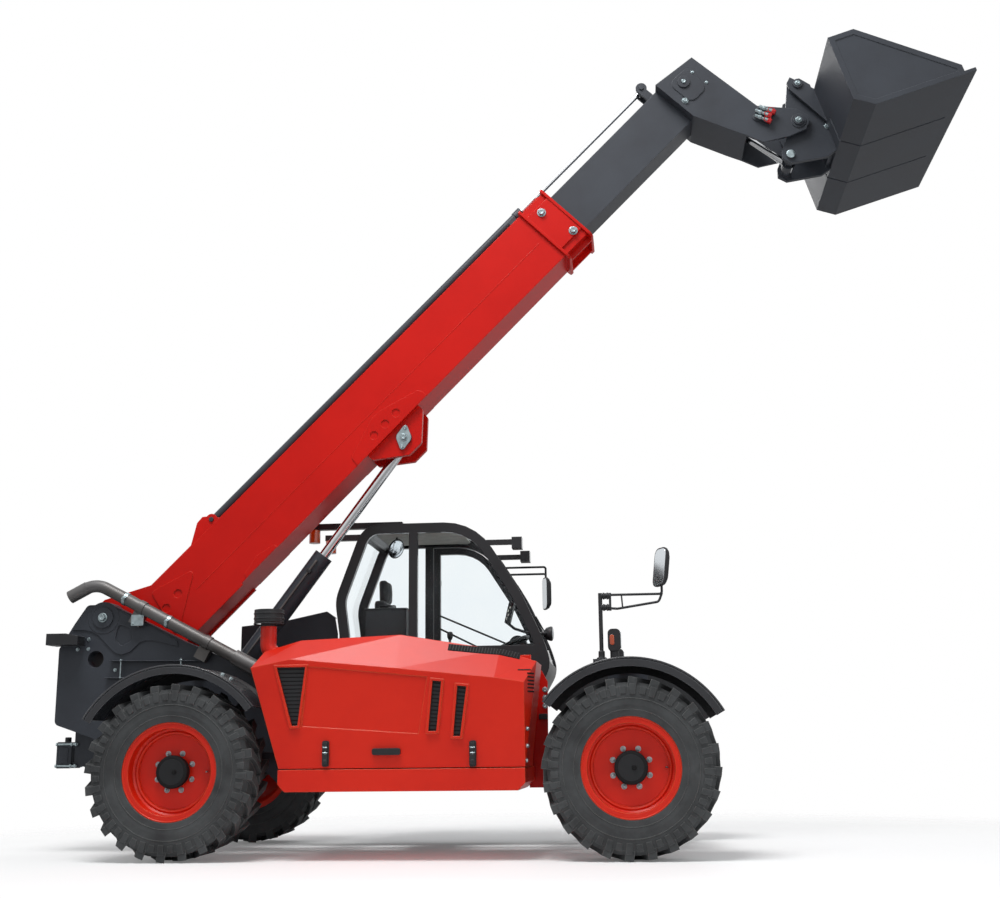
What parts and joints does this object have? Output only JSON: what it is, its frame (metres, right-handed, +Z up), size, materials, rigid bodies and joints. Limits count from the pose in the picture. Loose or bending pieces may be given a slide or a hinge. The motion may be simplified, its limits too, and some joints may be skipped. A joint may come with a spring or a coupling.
{
  "type": "telehandler",
  "caption": "Telescopic handler with a raised two-section boom, quick hitch and bucket, side cab, side engine cover and four steered wheels",
  "frame": {"origin": "on the ground under the middle of the whole machine, boom raised", "axes": "+X forward to the bucket, +Y to the machine's left where the cab is, +Z up"},
  "size_m": [6.9924, 2.3, 6.1199],
  "materials": {
    "red_paint": "gloss enamel",
    "charcoal_paint": "satin enamel",
    "cast_black": "painted casting",
    "chrome_rod": "polished",
    "rubber": "matt",
    "window": "clear",
    "black_plastic": "grained",
    "pad_plastic": "smooth",
    "seat_cover": "woven",
    "pipe_steel": "heat dulled",
    "lamp_lens": "moulded"
  },
  "bodies": {
    "chassis": {"frame": "charcoal_paint", "rear_block": "charcoal_paint", "crossmembers": "charcoal_paint", "driveline": "cast_black", "tow_hitch": "charcoal_paint", "front_axle": "cast_black", "rear_axle": "cast_black", "engine": "cast_black", "engine_bay": "red_paint", "exhaust": "pipe_steel", "fenders": "black_plastic", "cab_frame": "charcoal_paint", "cab_glass": "window", "seat": "seat_cover", "steering_column": "black_plastic", "side_tank": "charcoal_paint", "mirrors": "black_plastic", "lamps": "lamp_lens"},
    "boom": {"outer_boom": "red_paint", "boom_collar": "red_paint", "front_pads": "pad_plastic", "extension_barrel": "charcoal_paint"},
    "inner": {"inner_boom": "charcoal_paint", "rear_pads": "pad_plastic", "boom_head": "charcoal_paint", "extension_rod": "chrome_rod", "tilt_barrel": "charcoal_paint"},
    "tilt_piston": {"tilt_rod": "chrome_rod"},
    "tool": {"carriage": "charcoal_paint", "bucket": "charcoal_paint"},
    "lift_piston": {"lift_rod": "chrome_rod"},
    "lift_tube": {"lift_barrel": "charcoal_paint"},
    "door": {"door_frame": "charcoal_paint", "door_glass": "window"},
    "cover": {"engine_cover": "red_paint", "cover_trim": "black_plastic", "air_intake": "black_plastic"},
    "knuckle_front_right": {"knuckle_fr": "cast_black"},
    "wheel_front_right": {"rim_fr": "red_paint", "tyre_fr": "rubber"},
    "knuckle_front_left": {"knuckle_fl": "cast_black"},
    "wheel_front_left": {"rim_fl": "red_paint", "tyre_fl": "rubber"},
    "knuckle_rear_right": {"knuckle_rr": "cast_black"},
    "wheel_rear_right": {"rim_rr": "red_paint", "tyre_rr": "rubber"},
    "knuckle_rear_left": {"knuckle_rl": "cast_black"},
    "wheel_rear_left": {"rim_rl": "red_paint", "tyre_rl": "rubber"}
  },
  "joints": [
    {"name": "boom_lift", "type": "hinge", "parent": "chassis", "child": "boom", "pos_m": [-3.08286, 0, 1.715], "axis": [0, -1, 0], "range_deg": [-47, 20]},
    {"name": "boom_extend", "type": "slide", "parent": "boom", "child": "inner", "axis": [0.7071, 0, 0.7071], "range_m": [-1.15, 1.45]},
    {"name": "bucket_tilt", "type": "hinge", "parent": "inner", "child": "tool", "pos_m": [2.32651, 0, 5.51499], "axis": [0, 1, 0], "range_deg": [-45, 78]},
    {"name": "tilt_stroke", "type": "slide", "parent": "inner", "child": "tilt_piston", "axis": [0.7805, 0, -0.6252], "range_m": [-0.3, 0.18]},
    {"name": "lift_swing", "type": "hinge", "parent": "boom", "child": "lift_piston", "pos_m": [-0.82224, 0, 3.07901], "axis": [0, -1, 0], "range_deg": [-2, 1]},
    {"name": "lift_stroke", "type": "slide", "parent": "lift_piston", "child": "lift_tube", "axis": [-0.5949, 0, -0.8038], "range_m": [-0.79, 0.34]},
    {"name": "steer_front", "type": "hinge", "parent": "chassis", "child": "knuckle_front_right", "pos_m": [0.85714, -0.7975, 0.588], "axis": [0, 0, 1], "range_deg": [-35, 35]},
    {"name": "roll_front_right", "type": "hinge", "parent": "knuckle_front_right", "child": "wheel_front_right", "pos_m": [0.85714, -0.9475, 0.588], "axis": [0, 1, 0], "continuous": true},
    {"name": "steer_front_left", "type": "hinge", "parent": "chassis", "child": "knuckle_front_left", "pos_m": [0.85714, 0.7975, 0.588], "axis": [0, 0, 1], "range_deg": [-35, 35]},
    {"name": "roll_front_left", "type": "hinge", "parent": "knuckle_front_left", "child": "wheel_front_left", "pos_m": [0.85714, 0.9475, 0.588], "axis": [0, 1, 0], "continuous": true},
    {"name": "steer_rear", "type": "hinge", "parent": "chassis", "child": "knuckle_rear_right", "pos_m": [-2.24286, -0.7975, 0.588], "axis": [0, 0, 1], "range_deg": [-35, 35]},
    {"name": "roll_rear_right", "type": "hinge", "parent": "knuckle_rear_right", "child": "wheel_rear_right", "pos_m": [-2.24286, -0.9475, 0.588], "axis": [0, 1, 0], "continuous": true},
    {"name": "steer_rear_left", "type": "hinge", "parent": "chassis", "child": "knuckle_rear_left", "pos_m": [-2.24286, 0.7975, 0.588], "axis": [0, 0, 1], "range_deg": [-35, 35]},
    {"name": "roll_rear_left", "type": "hinge", "parent": "knuckle_rear_left", "child": "wheel_rear_left", "pos_m": [-2.24286, 0.9475, 0.588], "axis": [0, 1, 0], "continuous": true},
    {"name": "cab_door", "type": "hinge", "parent": "chassis", "child": "door", "pos_m": [-0.77736, 1.12, 1.15], "axis": [0, 0, 1], "range_deg": [0, 95]},
    {"name": "cover_lift", "type": "hinge", "parent": "chassis", "child": "cover", "pos_m": [-1.50286, -0.448, 1.405], "axis": [-1, 0, 0], "range_deg": [0, 60]}
  ],
  "couplings": [
    {"joint": "tilt_stroke", "follows": "bucket_tilt", "m_per_rad": -0.2143},
    {"joint": "lift_swing", "follows": "boom_lift", "ratio": 0.03},
    {"joint": "lift_stroke", "follows": "boom_lift", "m_per_rad": 0.95},
    {"joint": "steer_front_left", "follows": "steer_front", "ratio": 1},
    {"joint": "steer_rear_left", "follows": "steer_rear", "ratio": 1}
  ]
}
